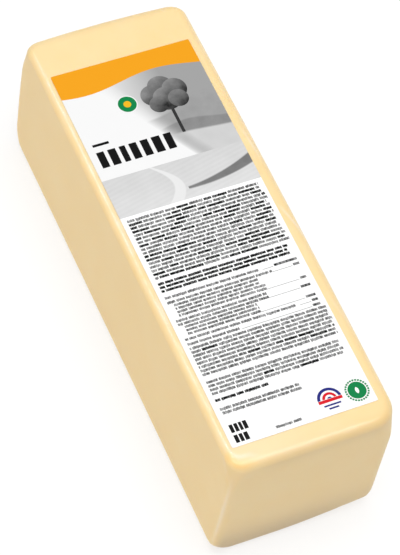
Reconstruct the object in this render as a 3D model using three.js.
// A catering block of mild cheddar, sealed in a tight clear film, with one large printed label on its top.
// Millimetres, +Z up. +Y runs along the block to its far end and +X to its right, so the near end faces -Y.
// The origin is at the middle of the block's footprint, on the surface that it rests on.

import * as THREE from "three";

// The block's overall size, over the film
const LENGTH = 350;
const WIDTH = 116.5;
const HEIGHT = 112;

// Rounding of the edges round the top, for the wall on each side, and of all the edges round the base
const TOP_EDGE = { left: 4.5, near: 6, right: 8, far: 11 };
const BASE_EDGE = 8;

// The four upright corners, anticlockwise from the near left: the signs of x and y, the direction in which
// the corner's arc starts, its plan radius low down, and its plan radius at the top, where it is rounder
const CORNERS = [
  { side: -1, end: -1, start: Math.PI, low: 5.5, high: 11 },
  { side: 1, end: -1, start: 1.5 * Math.PI, low: 9, high: 18 },
  { side: 1, end: 1, start: 0, low: 13, high: 12 },
  { side: -1, end: 1, start: 0.5 * Math.PI, low: 6, high: 13 },
];
const SOFT_DEPTH = 30; // below the top, the depth over which the corners change to their top radius
const LEAST_RADIUS = 2;

// How far the faces and long edges stand out at their middle, because cheese is never cut quite flat
const CROWN = { left: 0.6, near: 1.1, right: 0.9, far: 0.9 };
const TOP_EDGE_BOW = { right: 0.8, far: 1.6 };
const LEFT_FOOT_TUCK = 0.4;
const CROWN_HEIGHT = 0.9; // how much of a wall's crown has faded at its top and its foot

// Flats where corners and one edge are knocked in: each faces along normal and lies depth inside the
// sharp corner of the full box on that side
const KNOCKS = [
  { normal: [1, -0.9, -1], depth: 10 }, // near right corner of the base
  { normal: [0.12, -0.76, -0.88], depth: 8.4 }, // near edge of the base, more towards the right
  { normal: [-1, 0.9, -0.6], depth: 8 }, // far left corner of the base
  { normal: [-0.8, -0.8, -1], depth: 7.8 }, // near left corner of the base
];
const KNOCK_BORDER = 0.02; // half the width of a flat's rounded border, as a share of its reach

// The label lies on the top, nearer the left edge and the near end
const LABEL = { left: -51.6, right: 48.7, near: -158.6, far: 140, thickness: 0.3, gap: 0.3 };

// Steps of the surface
const CORNER_STEPS = 8;
const LONG_STEPS = 30;
const SHORT_STEPS = 12;
const EDGE_STEPS = 7;
const WALL_STEPS = 10;
const FACE_STEPS = 4; // on the flat base and top, closer together towards the edge

const sum = (a, b) => a + b;
const eased = (t) => {
  const s = Math.min(Math.max(t, 0), 1);
  return s * s * (3 - 2 * s);
};

// A value that is given for each of the four walls, blended round a corner by the direction (nx, ny) it faces
function byWall(values, nx, ny) {
  const share = {
    left: Math.max(-nx, 0),
    near: Math.max(-ny, 0),
    right: Math.max(nx, 0),
    far: Math.max(ny, 0),
  };
  return Object.keys(share)
    .map((wall) => values[wall] * share[wall] ** 2)
    .reduce(sum);
}

// The directions round the block: each corner's arc, then the straight run to the next corner
function goingRound() {
  const stops = [];
  CORNERS.forEach((corner, k) => {
    for (let i = 0; i <= CORNER_STEPS; i++) {
      stops.push({ corner: k, angle: corner.start + (i / CORNER_STEPS) * (Math.PI / 2), along: 0 });
    }
    const steps = k % 2 === 0 ? SHORT_STEPS : LONG_STEPS;
    for (let i = 1; i < steps; i++) {
      stops.push({ corner: k, angle: corner.start + Math.PI / 2, along: i / steps });
    }
  });
  return stops;
}

// The levels from the base to the top: each gives a point's inset from the wall, its height and, on the two
// flat faces, its share of the way out from the middle, for the edge rounding at that point of the outline
function goingUp() {
  const levels = [];
  const base = -HEIGHT / 2;
  const top = HEIGHT / 2;
  const turn = (i) => ((i / EDGE_STEPS) * Math.PI) / 2;
  const outward = (i) => 1 - (1 - i / FACE_STEPS) ** 2;
  for (let i = 1; i <= FACE_STEPS; i++) {
    levels.push(() => ({ inset: BASE_EDGE, z: base, out: outward(i) }));
  }
  for (let i = 1; i <= EDGE_STEPS; i++) {
    levels.push(() => ({
      inset: BASE_EDGE * (1 - Math.sin(turn(i))),
      z: base + BASE_EDGE * (1 - Math.cos(turn(i))),
      out: 1,
    }));
  }
  for (let i = 1; i < WALL_STEPS; i++) {
    levels.push((edge) => ({
      inset: 0,
      z: base + BASE_EDGE + (i / WALL_STEPS) * (HEIGHT - BASE_EDGE - edge),
      out: 1,
    }));
  }
  for (let i = 0; i < EDGE_STEPS; i++) {
    levels.push((edge) => ({
      inset: edge * (1 - Math.cos(turn(i))),
      z: top - edge + edge * Math.sin(turn(i)),
      out: 1,
    }));
  }
  for (let i = FACE_STEPS; i >= 1; i--) {
    levels.push((edge) => ({ inset: edge, z: top, out: outward(i) }));
  }
  return levels;
}

// One point of a corner's arc on the neat block, before it is crowned and knocked in
function arcPoint(cornerIndex, angle, level) {
  const corner = CORNERS[cornerIndex];
  const edge = byWall(TOP_EDGE, Math.cos(angle), Math.sin(angle));
  const { inset, z, out } = level(edge);
  const softened = eased((z - (HEIGHT / 2 - SOFT_DEPTH)) / SOFT_DEPTH);
  const radius = Math.max(corner.low + (corner.high - corner.low) * softened - inset, LEAST_RADIUS);
  const x = corner.side * (WIDTH / 2 - inset - radius) + radius * Math.cos(angle);
  const y = corner.end * (LENGTH / 2 - inset - radius) + radius * Math.sin(angle);
  return new THREE.Vector3(x * out, y * out, z);
}

// Any point of the neat block: on an arc, or between the arc's end and the start of the next corner's arc
function neatPoint({ corner, angle, along }, level) {
  const from = arcPoint(corner, angle, level);
  if (along === 0) {
    return from;
  }
  return from.lerp(arcPoint((corner + 1) % CORNERS.length, angle, level), along);
}

// Crowns the walls and bows the edges: each push is a parabola, greatest at the middle of its face
function crowned(p) {
  const u = (2 * p.x) / WIDTH;
  const v = (2 * p.y) / LENGTH;
  const w = (2 * p.z) / HEIGHT;
  const hump = (t) => 1 - t * t;
  const waist = hump(w * CROWN_HEIGHT);
  const rightward = CROWN.right * waist + TOP_EDGE_BOW.right * Math.max(w, 0);
  const leftward = CROWN.left * waist - LEFT_FOOT_TUCK * Math.max(-w, 0);
  const farward = CROWN.far * waist + TOP_EDGE_BOW.far * Math.max(w, 0);
  const nearward = CROWN.near * waist;
  const x = (rightward * Math.max(u, 0) - leftward * Math.max(-u, 0)) * hump(v);
  const y = (farward * Math.max(v, 0) - nearward * Math.max(-v, 0)) * hump(u);
  return new THREE.Vector3(p.x + x, p.y + y, p.z);
}

// Each knocked-in flat as a plane: the direction it faces, and how far it lies from the block's middle
const FLATS = KNOCKS.map(({ normal, depth }) => {
  const away = new THREE.Vector3(...normal).normalize();
  const boxCorner = new THREE.Vector3(WIDTH / 2, LENGTH / 2, HEIGHT / 2).multiply(
    new THREE.Vector3(...normal.map(Math.sign)),
  );
  return { away, reach: away.dot(boxCorner) - depth };
});

// How far a point is pressed in, as a ratio: 1 until its flat is near, and its own ratio beyond the flat,
// with a parabola between the two that rounds the flat's border
function pressOf(ratio) {
  if (ratio <= 1 - KNOCK_BORDER) {
    return 1;
  }
  return ratio >= 1 + KNOCK_BORDER ? ratio : 1 + (ratio - 1 + KNOCK_BORDER) ** 2 / (4 * KNOCK_BORDER);
}

// Draws a point that stands proud of a flat straight towards the block's middle, until it lies on the flat
function knockedIn(p) {
  const press = Math.max(...FLATS.map(({ away, reach }) => pressOf(away.dot(p) / reach)));
  return p.divideScalar(press);
}

// The block's closed skin: a ring of points at each level, and one point in the middle of the base and top
function blockGeometry() {
  const stops = goingRound();
  const levels = goingUp();
  const points = [new THREE.Vector3(0, 0, -HEIGHT / 2)];
  for (const level of levels) {
    points.push(...stops.map((stop) => knockedIn(crowned(neatPoint(stop, level)))));
  }
  points.push(new THREE.Vector3(0, 0, HEIGHT / 2));

  const triangles = [];
  const ring = stops.length;
  const last = points.length - 1;
  const at = (level, stop) => 1 + level * ring + (stop % ring);
  for (let s = 0; s < ring; s++) {
    triangles.push(0, at(0, s + 1), at(0, s));
    for (let k = 0; k < levels.length - 1; k++) {
      triangles.push(at(k, s), at(k, s + 1), at(k + 1, s + 1), at(k, s), at(k + 1, s + 1), at(k + 1, s));
    }
    triangles.push(at(levels.length - 1, s), at(levels.length - 1, s + 1), last);
  }

  const geometry = new THREE.BufferGeometry();
  geometry.setAttribute(
    "position",
    new THREE.Float32BufferAttribute(points.flatMap((p) => p.toArray()), 3),
  );
  geometry.setIndex(triangles);
  geometry.computeVertexNormals();
  return geometry;
}

// The sealed block: pale yellow cheese, seen through film that clings to it all over
function cheeseBlock() {
  const material = new THREE.MeshStandardMaterial({ color: 0xffe9b3, roughness: 0.35, metalness: 0 });
  const mesh = new THREE.Mesh(blockGeometry(), material);
  mesh.name = "cheese_block";
  mesh.position.z = HEIGHT / 2;
  return mesh;
}

// The label: one flat rectangle of printed film, stuck to the wrapping
function label() {
  const width = LABEL.right - LABEL.left;
  const length = LABEL.far - LABEL.near;
  const material = new THREE.MeshStandardMaterial({ color: 0xf8f8f7, roughness: 0.4, metalness: 0 });
  const mesh = new THREE.Mesh(new THREE.BoxGeometry(width, length, LABEL.thickness), material);
  mesh.name = "label";
  mesh.position.set(
    LABEL.left + width / 2,
    LABEL.near + length / 2,
    HEIGHT + LABEL.gap + LABEL.thickness / 2,
  );
  return mesh;
}

const block = cheeseBlock();
const group = new THREE.Group();
group.add(block, label());

// The crowns differ from side to side, so the whole is moved to put its footprint's middle at the origin
const footprint = new THREE.Box3().setFromObject(block).getCenter(new THREE.Vector3());
group.position.set(-footprint.x, -footprint.y, 0);
group.updateMatrixWorld(true);

export default group;
